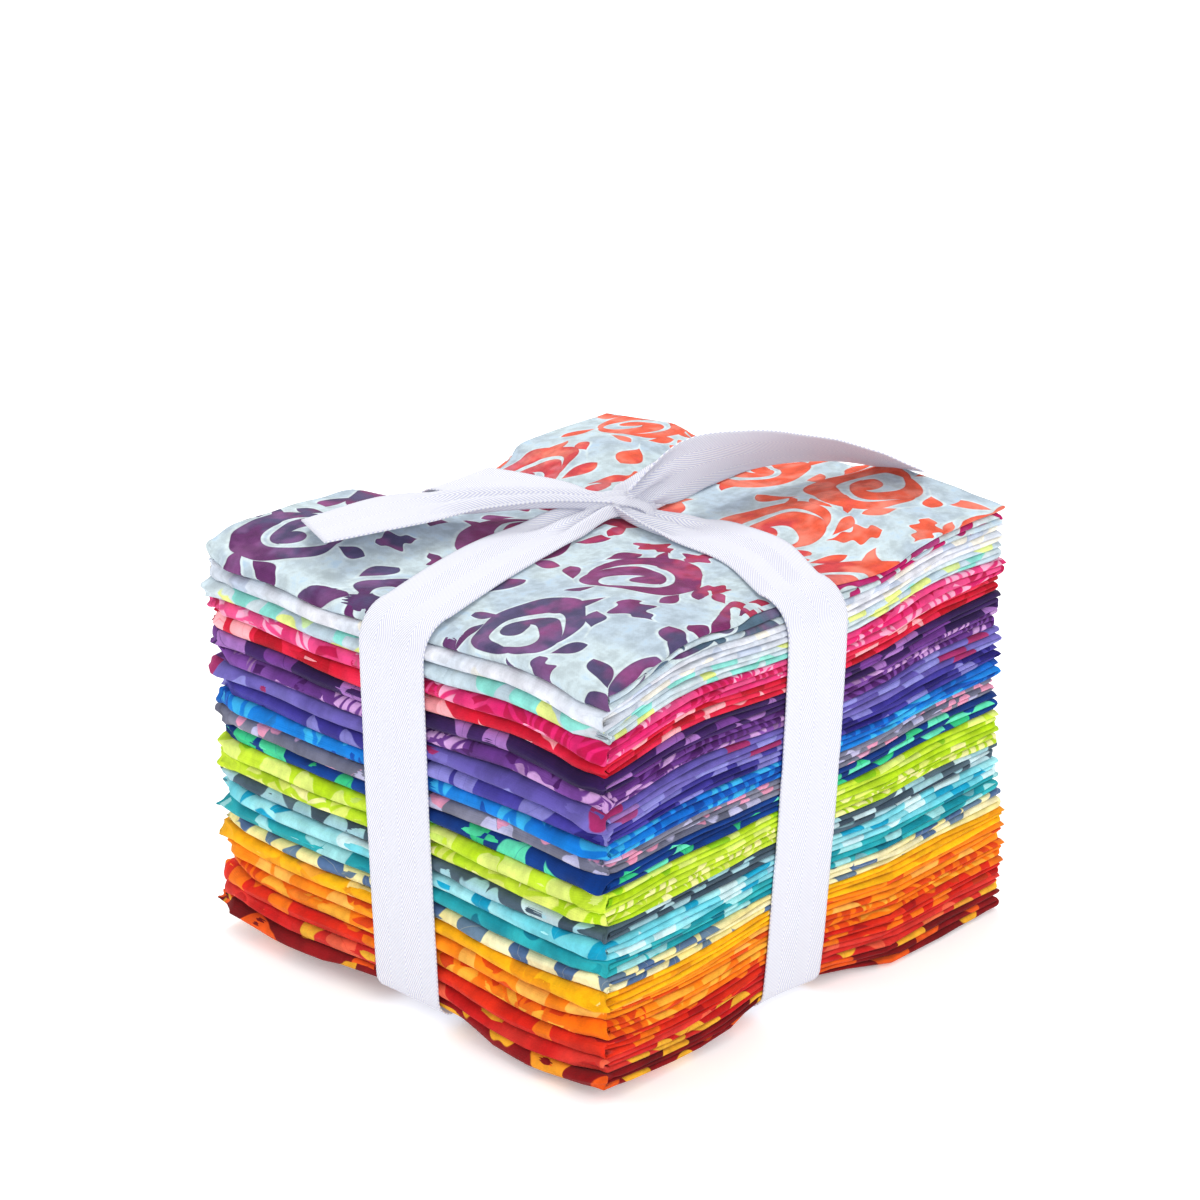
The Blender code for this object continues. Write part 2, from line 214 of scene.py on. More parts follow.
# The ribbon's runs over the top in mm, from the knot outwards: along, across, width, lift.
RUNS = {
    "front": (
        "Y", -1, RIBBON_X_FRONT,
        ((12, -3.5, 7, 2.6), (5, -4.5, 9, 2.6), (-6, -7.0, 14, 1.7), (-22, -7.5, 20, 0.9), (-44, -3.5, 22.2, 0.5)),
    ),
    "back": (
        "Y", 1, RIBBON_X_BACK,
        ((6, -3.5, 7, 2.6), (13, -5.5, 9, 2.6), (26, -9.5, 17, 1.2), (46, -12.5, 22.2, 0.5)),
    ),
    "left": (
        "X", -1, RIBBON_Y_LEFT,
        ((0, 9.0, 7, 2.6), (-8, 9.5, 9, 2.6), (-24, 12.0, 16, 1.1), (-42, 10.5, 21, 0.5)),
    ),
    "right": (
        "X", 1, RIBBON_Y_RIGHT,
        ((-6, 9.0, 7, 2.6), (1, 9.0, 9, 2.6), (12, 12.0, 14, 1.5), (25, 13.5, 20, 0.8), (42, 11.0, 22.2, 0.5)),
    ),
}
# The free ends in mm and degrees, from the knot out. Tilt lifts the edge on the right of the run.
TAILS = {
    "left_tail": (
        # x, y, z, width, tilt
        (-3.5, 8, 114.4, 8, 0),
        (-9.5, 2.5, 115.0, 9, 2),
        (-17.5, -7, 116.0, 11.5, 4),
        (-27.5, -24, 116.8, 15, 8),
        (-34, -42, 117.2, 20, 4),
        (-41, -62.5, 115.6, 22.2, -4),
    ),
    "right_tail": (
        (-1, 10, 115.0, 8, 60),
        (8, 18, 122.3, 18, 76),
        (13.5, 33, 124.6, 21, 55),
        (19, 47.5, 124.3, 22.2, 39),
        (28, 58.5, 123.4, 22.2, 32),
        (38, 66, 121.2, 22.2, 28),
        (46.5, 71.5, 119.0, 22.2, 20),
    ),
}
# How far each run leans on its side of the stack, across its way: at the top, then at the foot.
SIDE_LEANS = {"front": (-1.0, 2.0), "back": (0, 0), "left": (0, 0), "right": (2.0, -5.0)}
END_SLANT = {"left_tail": -1.6 * MM, "right_tail": 0.0}
TAPE = 0.4 * MM
SIDE_CLEARANCE = 0.55 * MM
FOOT_LEVEL = 0.25 * MM
OVER_OTHER = 0.5 * MM
RIBBON_LENGTH = 1.19
PLEATS = 2.5
KNOT_CENTRE = Vector((-3.2, 9.2, 112.2)) * MM
KNOT_TURN = 43
KNOT_SPREAD = 7.6 * MM
KNOT_RISE = 2.9 * MM
KNOT_CROWN = 1.5 * MM
KNOT_WIDTH = 10 * MM

# The camera, found from the photo: where it looks, from how far, and at what angles.
CAMERA_TARGET = Vector((-61.8, 64.7, 56.8)) * MM
CAMERA_DISTANCE = 0.9199
CAMERA_AZIMUTH = 43.1
CAMERA_ELEVATION = 20.7
CAMERA_LENS = 96
CAMERA_SENSOR = 36
FLOOR_SIZE = 8.0
LAMPS = (
    # name, x, y, z, size, power in watts
    ("key", -0.5, 0.5, 1.5, 0.45, 10.0),
    ("front_left", -0.9, -1.0, 0.75, 0.6, 5.0),
    ("front_right", 1.25, -0.35, 0.7, 0.6, 7.0),
)


def noise(points, seed, grain):
    """Smooth noise from -1 to 1, with features of the size grain, in mm, along each direction."""
    size = 32
    table = np.random.default_rng(seed).uniform(-1, 1, (size, size, size))
    place = points / (np.array(grain) * MM) + size
    cell = np.floor(place).astype(int)
    share = place - cell
    share = share * share * (3 - 2 * share)
    total = np.zeros(len(points))
    for corner in itertools.product((0, 1), repeat=3):
        weight = np.prod(np.where(corner, share, 1 - share), axis=1)
        at = (cell + corner) % size
        total += weight * table[at[:, 0], at[:, 1], at[:, 2]]
    return total


def curve_weights(places, stations):
    """The weight of each station at each place, for a smooth curve through the stations."""
    stations = np.array(stations)
    last = len(stations) - 1
    places = np.clip(places, stations[0], stations[-1])
    k = np.clip(np.searchsorted(stations, places, side="right") - 1, 0, last - 1)
    width = stations[k + 1] - stations[k]
    t = (places - stations[k]) / width
    weights = np.zeros((len(places), last + 1))
    rows = np.arange(len(places))
    weights[rows, k] += (1 + 2 * t) * (1 - t) ** 2
    weights[rows, k + 1] += t * t * (3 - 2 * t)
    for knot, bend in ((k, t * (1 - t) ** 2), (k + 1, t * t * (t - 1))):
        before = np.maximum(knot - 1, 0)
        after = np.minimum(knot + 1, last)
        slope = bend * width / (stations[after] - stations[before])
        weights[rows, after] += slope
        weights[rows, before] -= slope
    return weights


def height(table, x, y):
    """Height of the top or the underside at places in plan."""
    rows = [(left, left_mid, middle, middle, right_mid, right) for left, left_mid, middle, right_mid, right in table]
    rows = np.array(rows)
    return np.einsum("nx,ny,yx->n", curve_weights(x, STATIONS_X), curve_weights(y, STATIONS_Y), rows) * MM


def smooth(t):
    t = np.clip(t, 0, 1)
    return t * t * (3 - 2 * t)


def held(place, centre):
    """1 under the ribbon, falling to 0 on both sides of it."""
    beyond = np.abs(place - centre) - RIBBON_WIDTH / 2 - MM
    return 1 - smooth(beyond / PINCH_FADE)


def rounding(depth, radius):
    """How far an edge of this radius is drawn in at a depth below its top."""
    rise = np.clip(radius - depth, 0, radius)
    return radius - np.sqrt(radius * radius - rise * rise)


def crease_relief(x, y):
    """Height of the ridges and troughs of the top quarter."""
    total = np.zeros(len(x))
    for x0, y0, x1, y1, half_width, rise in CREASES:
        start = np.array((x0, y0)) * MM
        run = np.array((x1 - x0, y1 - y0)) * MM
        from_start = np.stack((x, y), axis=1) - start
        along = np.clip(from_start @ run / (run @ run), 0, 1)
        away = np.linalg.norm(from_start - along[:, None] * run, axis=1) / (half_width * MM)
        total += rise * MM * np.exp(-away * away) * (1 - 0.75 * along)
    return total


def uneven(points):
    """The plain stack with thick and thin places: each point keeps its order above and below others."""
    rise = np.zeros(len(points))
    for seed, (size, grain) in enumerate((THICK_AND_THIN, PLY_WAVES), start=11):
        rise += size * MM * noise(points, seed, grain)
    moved = points.copy()
    moved[:, 2] += rise
    share = smooth((points[:, 2] - (STACK - QUARTER_HEIGHT)) / QUARTER_HEIGHT)
    size, grain = TOP_RELIEF
    relief = crease_relief(points[:, 0], points[:, 1]) + size * MM * noise(points, 13, grain)
    moved[:, 2] += share * relief
    return moved


def settled(points, sides):
    """Moves points of the plain, square stack to their places in the tied one."""
    x, y, z = uneven(points).T
    left, right, front, back = (side * MM for side in sides)
    level = np.clip(z / STACK, 0, 1.02)
    top_sag = height(TOP, x, y) - MEAN_TOP
    foot_sag = height(UNDERSIDE, x, y) - MEAN_UNDERSIDE
    new_z = MEAN_UNDERSIDE + z / STACK * (MEAN_TOP - MEAN_UNDERSIDE)
    new_z += top_sag * level**SETTLING + foot_sag * np.clip(1 - level, 0, 1) ** SETTLING
    pull = PINCH + rounding(height(TOP, x, y) - new_z, TOP_ROUND)
    pull += rounding(new_z - height(UNDERSIDE, x, y), FOOT_ROUND)
    waves = SIDE_WAVES[0] * MM * noise(points, 14, SIDE_WAVES[1])
    waves += SIDE_RIPPLES[0] * MM * noise(points, 15, SIDE_RIPPLES[1])
    grip_x = held(y, np.where(x < 0, RIBBON_Y_LEFT, RIBBON_Y_RIGHT))
    grip_y = held(x, np.where(y < 0, RIBBON_X_FRONT, RIBBON_X_BACK))
    reach_x = np.clip((np.abs(x) - STATIONS_X[4]) / (HALF_X - STATIONS_X[4]), 0, None)
    reach_y = np.clip((np.abs(y) - STATIONS_Y[4]) / (HALF_Y - STATIONS_Y[4]), 0, None)
    shift_x = (1 - grip_x) * (np.where(x < 0, left, right) + waves) - grip_x * pull
    shift_y = (1 - grip_y) * (np.where(y < 0, front, back) + waves) - grip_y * pull
    spread = SPLAY * smooth((y - SPLAY_FROM) / (22 * MM)) * (x > 0) * np.clip(1 - 2.2 * level, 0, 1)
    new_x = x + np.sign(x) * reach_x * (shift_x + spread)
    new_y = y + np.sign(y) * reach_y * shift_y
    return np.stack((new_x, new_y, new_z), axis=1)


def cloth_top(x, y):
    """Height of the top quarter's upper face at places in plan."""
    x, y = np.atleast_1d(x).astype(float), np.atleast_1d(y).astype(float)
    flat = np.stack((x, y, np.full(len(x), STACK)), axis=1)
    return settled(flat, (0, 0, 0, 0))[:, 2]


def spaced(start, end, count, crowding):
    """Places from start to end, closer together near both ends as crowding goes from 0 to 1."""
    t = np.linspace(0, 1, count)
    crowded = (1 - np.cos(np.pi * t)) / 2
    return start + (end - start) * ((1 - crowding) * t + crowding * crowded)


def half_turn(count):
    """Angles strictly between the ends of a half turn."""
    return np.pi * np.arange(1, count + 1) / (count + 1)


def ply_line(detail):
    """The folded width of the cut, as places along X and heights in the layer, and where each is in the flat
    cloth. The first ply is the outer one, from its cut edge at the left to the fold at the right."""
    outer_end = HALF_X - OUTER_PLY
    inner_end = outer_end - INNER_SETBACK
    left_end = -HALF_X + INNER_PLY
    between = (OUTER_PLY + INNER_PLY) / 2
    left_radius = (OUTER_PLY - INNER_PLY) / 2
    long, short = int(26 * detail), int(9 * detail * detail)
    outer = half_turn(5)
    small = half_turn(3)
    line = [(x, OUTER_PLY) for x in spaced(-HALF_X, outer_end, long, 0.7)]
    line += [(outer_end + OUTER_PLY * math.sin(a), OUTER_PLY * math.cos(a)) for a in outer]
    line += [(x, -OUTER_PLY) for x in spaced(outer_end, left_end, short, 0.5)]
    line += [(left_end - left_radius * math.sin(a), -between - left_radius * math.cos(a)) for a in small]
    line += [(x, -INNER_PLY) for x in spaced(left_end, inner_end, short, 0.5)]
    line += [(inner_end + INNER_PLY * math.sin(a), -INNER_PLY * math.cos(a)) for a in small]
    line += [(x, INNER_PLY) for x in spaced(inner_end, -HALF_X + MM, short, 0.5)]
    line = np.array(line)
    steps = np.linalg.norm(np.diff(line, axis=0), axis=1)
    flat = np.concatenate(((0,), np.cumsum(steps)))
    return line, flat / flat[-1]


def layer_line(detail):
    """The folded length of the cut: places along Y and Z, the direction square to the layer, how much the
    big round fold bulges there, and where each is in the flat cloth."""
    bottom, middle, top = (PITCH * (n + 0.5) for n in range(LAYERS))
    nose_y = -HALF_Y + OUTER_PLY + NOSE_REACH
    tuck_y = HALF_Y - OUTER_PLY - TUCK_REACH
    rows = []

    def straight(start, end, z, count):
        way = math.copysign(1, end - start)
        rows.extend((y, z, 0, way, 0) for y in spaced(start, end, count, 0.7))

    def turn(y, centre, radius, reach, way, count):
        for angle in half_turn(count):
            place = (y + reach * math.sin(angle), centre - way * radius * math.cos(angle))
            square = Vector((math.sin(angle) * radius, -way * math.cos(angle) * abs(reach))).normalized()
            rows.append((*place, math.copysign(1, reach) * square.x, square.y, math.sin(angle) * (reach < 0)))

    straight(-HALF_Y + FLAP_SETBACK, tuck_y, middle, int(10 * detail))
    turn(tuck_y, (middle + bottom) / 2, (middle - bottom) / 2, TUCK_REACH, -1, 5)
    straight(tuck_y, nose_y, bottom, int(18 * detail))
    turn(nose_y, middle, middle - bottom, -NOSE_REACH, 1, 11)
    straight(nose_y, HALF_Y, top, int(28 * detail))
    rows = np.array(rows)
    steps = np.linalg.norm(np.diff(rows[:, :2], axis=0), axis=1)
    flat = np.concatenate(((0,), np.cumsum(steps)))
    return rows, flat / flat[-1]


def grid_object(name, points, flat):
    """A mesh of rows and columns of points, with the flat cloth's places as its UV map."""
    row_count, column_count = points.shape[:2]
    bm = bmesh.new()
    bmesh.ops.create_grid(bm, x_segments=column_count - 1, y_segments=row_count - 1, size=0.5)
    mesh = bpy.data.meshes.new(name)
    bm.to_mesh(mesh)
    bm.free()
    mesh.vertices.foreach_set("co", points.reshape(-1).astype(np.float32))
    corners = np.empty(len(mesh.loops), dtype=np.int32)
    mesh.loops.foreach_get("vertex_index", corners)
    layer = mesh.uv_layers.new(name="flat_cloth")
    layer.data.foreach_set("uv", flat.reshape(-1, 2)[corners].reshape(-1).astype(np.float32))
    mesh.shade_smooth()
    mesh.update()
    piece = bpy.data.objects.new(name, mesh)
    bpy.context.scene.collection.objects.link(piece)
    return piece


def thicken(piece, thickness, offset):
    solidify = piece.modifiers.new("thickness", "SOLIDIFY")
    solidify.thickness = thickness
    solidify.offset = offset


def nose_shape(number, x):
    """How the big round fold of one quarter swells and leans along its length."""
    places = np.stack((x, np.zeros(len(x)), np.full(len(x), number * 7 * MM)), axis=1)
    swell = np.zeros(len(x))
    for seed, (size, grain) in enumerate(zip(NOSE_SWELL, NOSE_GRAIN), start=21):
        swell += size * noise(places, seed, (grain, 50, 3))
    lean = NOSE_LEAN * noise(places, 23, (18, 50, 3))
    rng = np.random.default_rng(100 + number)
    for side in (-1, 1):
        length = rng.uniform(*CORNER_LENGTH) * MM
        near = np.clip((side * x - HALF_X + length) / length, 0, 1)
        swell -= near * rng.uniform(*CORNER_PRESSED)
        lean += near * rng.uniform(-CORNER_LEAN, CORNER_LEAN)
    return swell * MM, lean * MM


def folded_quarter(number, detail, cloth_thickness):
    """One quarter's cloth as a mesh, folded, settled in its place in the stack and tied."""
    plies, flat_u = ply_line(detail)
    layers, flat_v = layer_line(detail)
    x, w = plies.T
    y, z, out_y, out_z, bulge = (column[:, None] for column in layers.T)
    swell, lean = nose_shape(number, x)
    foot = (COUNT - number) * QUARTER_HEIGHT
    points = np.empty((len(layers), len(plies), 3))
    points[:, :, 0] = x
    points[:, :, 1] = y + out_y * w - bulge * swell
    points[:, :, 2] = z + out_z * w + bulge * lean + foot
    flat = np.empty((len(layers), len(plies), 2))
    flat[:, :, 0] = flat_u
    flat[:, :, 1] = flat_v[:, None]
    tied = settled(crumpled(points.reshape(-1, 3), foot), QUARTERS[number - 1][:4])
    piece = grid_object(f"quarter_{number:02d}_cloth", tied.reshape(points.shape), flat)
    thicken(piece, cloth_thickness, -1)
    return piece


def crumpled(points, foot):
    """One quarter with its two front corners bent a little, where many hands have squared up the stack."""
    size, grain = CRUMPLE
    reach_x, reach_y = CRUMPLED
    near = smooth(1 - (HALF_X - np.abs(points[:, 0])) / (reach_x * MM))
    near *= smooth(1 - (HALF_Y + points[:, 1]) / (reach_y * MM))
    inside = np.sin(np.pi * np.clip((points[:, 2] - foot) / QUARTER_HEIGHT, 0, 1))
    moved = points.copy()
    moved[:, 0] -= size * MM * near * np.sign(points[:, 0]) * (0.5 * noise(points, 43, grain) + 0.3)
    moved[:, 1] += size * MM * near * (noise(points, 41, grain) + 0.4)
    moved[:, 2] += 0.5 * size * MM * near * inside * noise(points, 42, grain)
    return moved


def linear(colour):
    """The light that a surface reflects, for a colour from 0 to 255 as it is seen under the studio lights."""
    shares = [c / 255 for c in colour]
    seen = [s / 12.92 if s <= 0.04045 else ((s + 0.055) / 1.055) ** 2.4 for s in shares]
    return tuple(s**DYE_DEPTH / LIGHT_LEVEL for s in seen)


class Term:
    """A number that varies over a surface, so that shader maths is written as an expression."""

    def __init__(self, finish, socket):
        self.finish = finish
        self.socket = socket

    def __add__(self, other):
        return self.finish.maths("ADD", self, other)

    __radd__ = __add__

    def __sub__(self, other):
        return self.finish.maths("SUBTRACT", self, other)

    def __rsub__(self, other):
        return self.finish.maths("SUBTRACT", other, self)

    def __mul__(self, other):
        return self.finish.maths("MULTIPLY", self, other)

    __rmul__ = __mul__

    def __truediv__(self, other):
        return self.finish.maths("DIVIDE", self, other)

    def __rtruediv__(self, other):
        return self.finish.maths("DIVIDE", other, self)

    def __gt__(self, other):
        return self.finish.maths("GREATER_THAN", self, other)

    def __lt__(self, other):
        return self.finish.maths("LESS_THAN", self, other)

    def __abs__(self):
        return self.finish.maths("ABSOLUTE", self)


class Finish:
    """A material that is written as expressions on the flat cloth's own places, in mm."""

    def __init__(self, name, roughness):
        self.material = bpy.data.materials.new(name)
        self.material.use_nodes = True
        self.tree = self.material.node_tree
        self.shader = self.tree.nodes["Principled BSDF"]
        self.shader.inputs["Roughness"].default_value = roughness

    def node(self, kind, settings, inputs):
        """A new node: its settings first, then the values or links of its sockets."""
        made = self.tree.nodes.new(kind)
        for name, value in settings.items():
            setattr(made, name, value)
        for name, value in inputs.items():
            self.feed(made.inputs[name], value)
        return made

    def feed(self, socket, value):
        if isinstance(value, Term):
            self.tree.links.new(value.socket, socket)
        elif isinstance(value, bpy.types.NodeSocket):
            self.tree.links.new(value, socket)
        else:
            socket.default_value = value

    def maths(self, operation, *values):
        made = self.node("ShaderNodeMath", {"operation": operation}, dict(enumerate(values)))
        return Term(self, made.outputs[0])

    def vector(self, operation, first, second):
        made = self.node("ShaderNodeVectorMath", {"operation": operation}, {0: first, 1: second})
        return made.outputs["Vector"]

    def parts(self, vector):
        made = self.node("ShaderNodeSeparateXYZ", {}, {"Vector": vector})
        return [Term(self, made.outputs[i]) for i in range(3)]

    def mix(self, factor, first, second):
        """A colour between two colours."""
        pair = [value if isinstance(value, bpy.types.NodeSocket) else (*value, 1) for value in (first, second)]
        made = self.node("ShaderNodeMix", {"data_type": "RGBA"}, {0: factor, 6: pair[0], 7: pair[1]})
        return made.outputs[2]

    def ramp(self, value, low, high):
        """0 at low, 1 at high, with a soft start and end."""
        made = self.node(
            "ShaderNodeMapRange",
            {"interpolation_type": "SMOOTHSTEP"},
            {"Value": value, "From Min": low, "From Max": high},
        )
        return Term(self, made.outputs["Result"])

    def noise(self, place, grain, detail=2.0, roughness=0.5):
        """Noise from 0 to 1 with features of this size, as a number and as a colour."""
        made = self.node(
            "ShaderNodeTexNoise",
            {"noise_dimensions": "2D"},
            {"Vector": place, "Scale": 1 / grain, "Detail": detail, "Roughness": roughness},
        )
        return Term(self, made.outputs["Fac"]), made.outputs["Color"]

    def deepest(self, depths):
        total = depths[0]
        for depth in depths[1:]:
            total = self.maths("MAXIMUM", total, depth)
        return total

    def cloth_place(self, width, length, shift):
        """The place on the flat cloth in mm, from its UV map, moved so that no two cuts are alike."""
        uv = self.node("ShaderNodeUVMap", {"uv_map": "flat_cloth"}, {}).outputs["UV"]
        scaled = self.vector("MULTIPLY", uv, (width / MM, length / MM, 1))
        return self.vector("ADD", scaled, (shift, 1.7 * shift, 0)), scaled

    def wander(self, place, grain, reach):
        """The place, moved about so that figures drawn with it have uneven edges."""
        colour = self.noise(place, grain, 1)[1]
        offset = self.vector("SUBTRACT", colour, (0.5, 0.5, 0.5))
        return self.vector("ADD", place, self.vector("MULTIPLY", offset, (reach, reach, 0)))

    def cells(self, place, size, randomness):
        """Scattered figures: the place in mm from the middle of the nearest one, each turned its own way, three
        random numbers for each, and the middle itself in cells."""
        made = self.node(
            "ShaderNodeTexVoronoi",
            {"voronoi_dimensions": "2D"},
            {"Vector": self.vector("MULTIPLY", place, (1 / size, 1 / size, 0)), "Scale": 1.0, "Randomness": randomness},
        )
        middle = made.outputs["Position"]
        chance = self.parts(made.outputs["Color"])
        from_middle = self.vector("SUBTRACT", self.vector("MULTIPLY", place, (1 / size, 1 / size, 0)), middle)
        spun = self.node(
            "ShaderNodeVectorRotate",
            {"rotation_type": "Z_AXIS"},
            {"Vector": self.vector("MULTIPLY", from_middle, (size, size, 0)), "Angle": chance[0] * math.tau},
        )
        x, y, _ = self.parts(spun.outputs["Vector"])
        return x, y, chance, middle

    def weave(self, place, thread, depth, extra=None):
        """Plain weave, and whatever else stands up a little, as bump."""
        x, y, _ = self.parts(place)
        turn = math.tau / thread / 2
        cloth = self.maths("SINE", x * turn) * self.maths("SINE", y * turn)
        raised = abs(cloth) * depth
        if extra is not None:
            raised = raised + extra
        bump = self.node("ShaderNodeBump", {}, {"Height": raised, "Distance": MM, "Strength": 1.0})
        self.feed(self.shader.inputs["Normal"], bump.outputs["Normal"])
        return cloth


def blots(finish, place, size):
    """Round spots of many sizes: how deep inside a spot, in mm."""
    x, y, chance, _ = finish.cells(finish.wander(place, size * 0.5, size * 0.35), size, 0.85)
    away = finish.maths("SQRT", x * x + y * y * (1.0 + chance[1]))
    return (0.22 + 0.24 * chance[2]) * size - away, chance[1]


def petals(finish, place, size):
    """Leaf and petal shapes, in loose sprays."""
    x, y, chance, _ = finish.cells(finish.wander(place, size * 0.6, size * 0.25), size, 0.7)
    along = x / (size * 0.46)
    bent = abs(y + x * x * (chance[1] - 0.5) * (1.6 / size))
    half = (1 - along * along) * (1 + 0.55 * along) * (0.19 + 0.14 * chance[2]) * size
    vein = abs(y + x * x * (chance[1] - 0.5) * (1.6 / size)) - size * 0.018
    return finish.maths("MINIMUM", half - bent, vein + 0.35), chance[2]


def stripes(finish, place, size):
    """Short combed bars, as a stamp with teeth leaves them."""
    x, y, chance, _ = finish.cells(finish.wander(place, size * 0.8, size * 0.3), size, 0.55)
    tooth = finish.maths("PINGPONG", y + 100 * size, size * 0.13)
    half = size * 0.3 + size * 0.12 * finish.maths("SINE", y * (9 / size))
    bar = tooth - size * 0.04
    return finish.maths("MINIMUM", bar, half - abs(x)), chance[1]


FIGURES = {"blots": blots, "petals": petals, "stripes": stripes}


def batik(number, settings):
    """The dyed and stamped cotton of one quarter."""
    *_, figure, size, ground_a, ground_b, figure_a, figure_b = QUARTERS[number - 1]
    finish = Finish(f"cotton_{number:02d}", 0.88)
    place, _ = finish.cloth_place(CUT_WIDTH, CUT_LENGTH, 613.0 * number)
    clouds, _ = finish.noise(place, 34, 3)
    mottle, _ = finish.noise(place, 6.5, 5, 0.62)
    ground = finish.mix(finish.ramp(clouds, 0.36, 0.64), linear(ground_a), linear(ground_b))
    depth, chance = FIGURES[figure](finish, place, size)
    inside = finish.ramp(depth, -0.15, 0.25)
    ink = finish.mix(finish.ramp(chance, 0.45, 0.6), linear(figure_a), linear(figure_b))
    stained = finish.mix(inside, ground, ink)
    return dyed(finish, stained, place, mottle, settings)


def dyed(finish, colour, place, mottle, settings):
    """The dye's cloudy lights and darks, the weave, and the finish of soft cotton."""
    fine, _ = finish.noise(place, 0.7, 2)
    cloth = finish.weave(place, settings.thread / MM, 0.05, mottle * 0.1)
    fade = settings.mottling * (finish.ramp(mottle, 0.3, 0.7) - 0.5)
    level = 1 + fade + 0.06 * (fine - 0.5) + 0.02 * cloth
    shade = finish.node("ShaderNodeCombineXYZ", {}, {0: level, 1: level, 2: level}).outputs["Vector"]
    finish.feed(finish.shader.inputs["Base Color"], finish.vector("MULTIPLY", colour, shade))
    finish.shader.inputs["Specular IOR Level"].default_value = 0.15
    finish.shader.inputs["Sheen Weight"].default_value = settings.sheen
    return finish.material


def scroll_print(settings):
    """The top quarter's print: scrolls, leaves and drops on a pale cloudy ground, their colour drifting from
    purple at the front to coral at the back."""
    *_, size, ground_a, ground_b, _, _ = QUARTERS[0]
    finish = Finish("cotton_01", 0.88)
    place, plain = finish.cloth_place(CUT_WIDTH, CUT_LENGTH, PRINT_SHIFT)
    drawn = finish.wander(place, 24, 9)
    clouds, _ = finish.noise(place, 26, 4, 0.6)
    mottle, _ = finish.noise(place, 5, 5, 0.65)
    wash, _ = finish.noise(place, 9, 2)
    depth = finish.deepest(scrolls(finish, drawn, size))
    right, back, _ = finish.parts(plain)
    layer = CUT_LENGTH / LAYERS / MM
    ply = CUT_WIDTH / 4 / MM
    across = finish.maths("MINIMUM", right, ply) * (0.14 / ply)
    drift = back * (1 / layer) - (LAYERS - 1) + across + (clouds - 0.5) * 0.4
    from_front = finish.maths("PINGPONG", back * (1 / layer), 1.0) + (clouds - 0.5) * 0.6
    hidden = finish.mix(finish.ramp(from_front, 0.4, 0.56), linear(SIDE_INKS[0]), linear(SIDE_INKS[1]))
    ink = finish.mix(finish.ramp(drift, -0.1, -0.03), hidden, linear(INKS[0][1]))
    for (_, colour), (low, high) in zip(INKS[1:], INK_STEPS):
        ink = finish.mix(finish.ramp(drift + (wash - 0.5) * 0.3, low, high), ink, linear(colour))
    paler = finish.mix(finish.ramp(drift, 0.55, 0.8), linear((164, 104, 160)), linear((250, 172, 156)))
    ink = finish.mix(finish.ramp(wash, 0.42, 0.66) * 0.4, ink, paler)
    ink = finish.mix(finish.ramp(depth, 0.7, 0.1) * 0.16, ink, linear((84, 36, 84)))
    ground = finish.mix(finish.ramp(clouds, 0.38, 0.62), linear(ground_a), linear(ground_b))
    washed = finish.mix(finish.ramp(mottle, 0.55, 0.75) * 0.5, ground, linear((158, 188, 214)))
    haloed = finish.mix(finish.ramp(depth, -1.1, -0.4) * 0.8, washed, linear((214, 226, 228)))
    return dyed(finish, finish.mix(finish.ramp(depth, -0.1, 0.12), haloed, ink), place, mottle, settings)


def scrolls(finish, place, size):
    """How deep inside each stroke of the nearest scroll, and inside a leaf or drop that fills in between."""
    x, y, chance, _ = finish.cells(place, size, SCATTER)
    y = y * (1 - 2 * (chance[1] > 0.5))
    scale = size * (0.92 + 0.12 * chance[2])
    x, y = x / scale, y / scale
    depths = [arc(finish, x, y, *stroke) * size for stroke in STROKES]
    depths += [leaf(finish, x, y, *shape) * size for shape in LEAVES]
    eye_x, eye_y, eye_size = EYE
    away = finish.maths("SQRT", (x - eye_x) * (x - eye_x) + (y - eye_y) * (y - eye_y))
    depths.append((eye_size - away) * size)
    small = size * FILLER
    fx, fy, filler, middle = finish.cells(place, small, 0.7)
    length = 0.3 + 0.2 * filler[0]
    thick = 0.12 + 0.16 * filler[1]
    fx, fy = fx / small, fy / small
    bent = fy + fx * fx * (filler[2] - 0.5) * 1.8
    along = fx / length
    notches = 1 + 0.35 * (filler[1] > 0.45) * finish.maths("SINE", fx * 21)
    fuller = finish.maths("MAXIMUM", 1 + 0.6 * along, 0.1)
    body = (1 - along * along) * fuller * thick * notches - abs(bent)
    nearest = finish.node(
        "ShaderNodeTexVoronoi",
        {"voronoi_dimensions": "2D"},
        {"Vector": finish.vector("MULTIPLY", middle, (FILLER, FILLER, 0)), "Scale": 1.0, "Randomness": SCATTER},
    )
    taken = Term(finish, nearest.outputs["Distance"]) < FILLER_CLEAR
    depths.append(body * small - 9 * taken)
    return depths


def arc(finish, x, y, middle_x, middle_y, radius, facing, half_length, half_width):
    """A curved stroke that is thick in its middle and runs out to nothing at both ends."""
    c, s = math.cos(math.radians(facing)), math.sin(math.radians(facing))
    dx, dy = x - middle_x, y - middle_y
    away = finish.maths("SQRT", dx * dx + dy * dy)
    turned = finish.maths("ARCTAN2", dy * c - dx * s, dx * c + dy * s) / math.radians(half_length)
    return (1 - turned * turned) * half_width - abs(away - radius)


def leaf(finish, x, y, middle_x, middle_y, facing, half_length, half_width):
    """A drop that is fuller towards its tip."""
    c, s = math.cos(math.radians(facing)), math.sin(math.radians(facing))
    dx, dy = x - middle_x, y - middle_y
    along = (dx * c + dy * s) / half_length
    fuller = finish.maths("MAXIMUM", 1 + 0.55 * along, 0.1)
    return (1 - along * along) * fuller * half_width - abs(dy * c - dx * s)


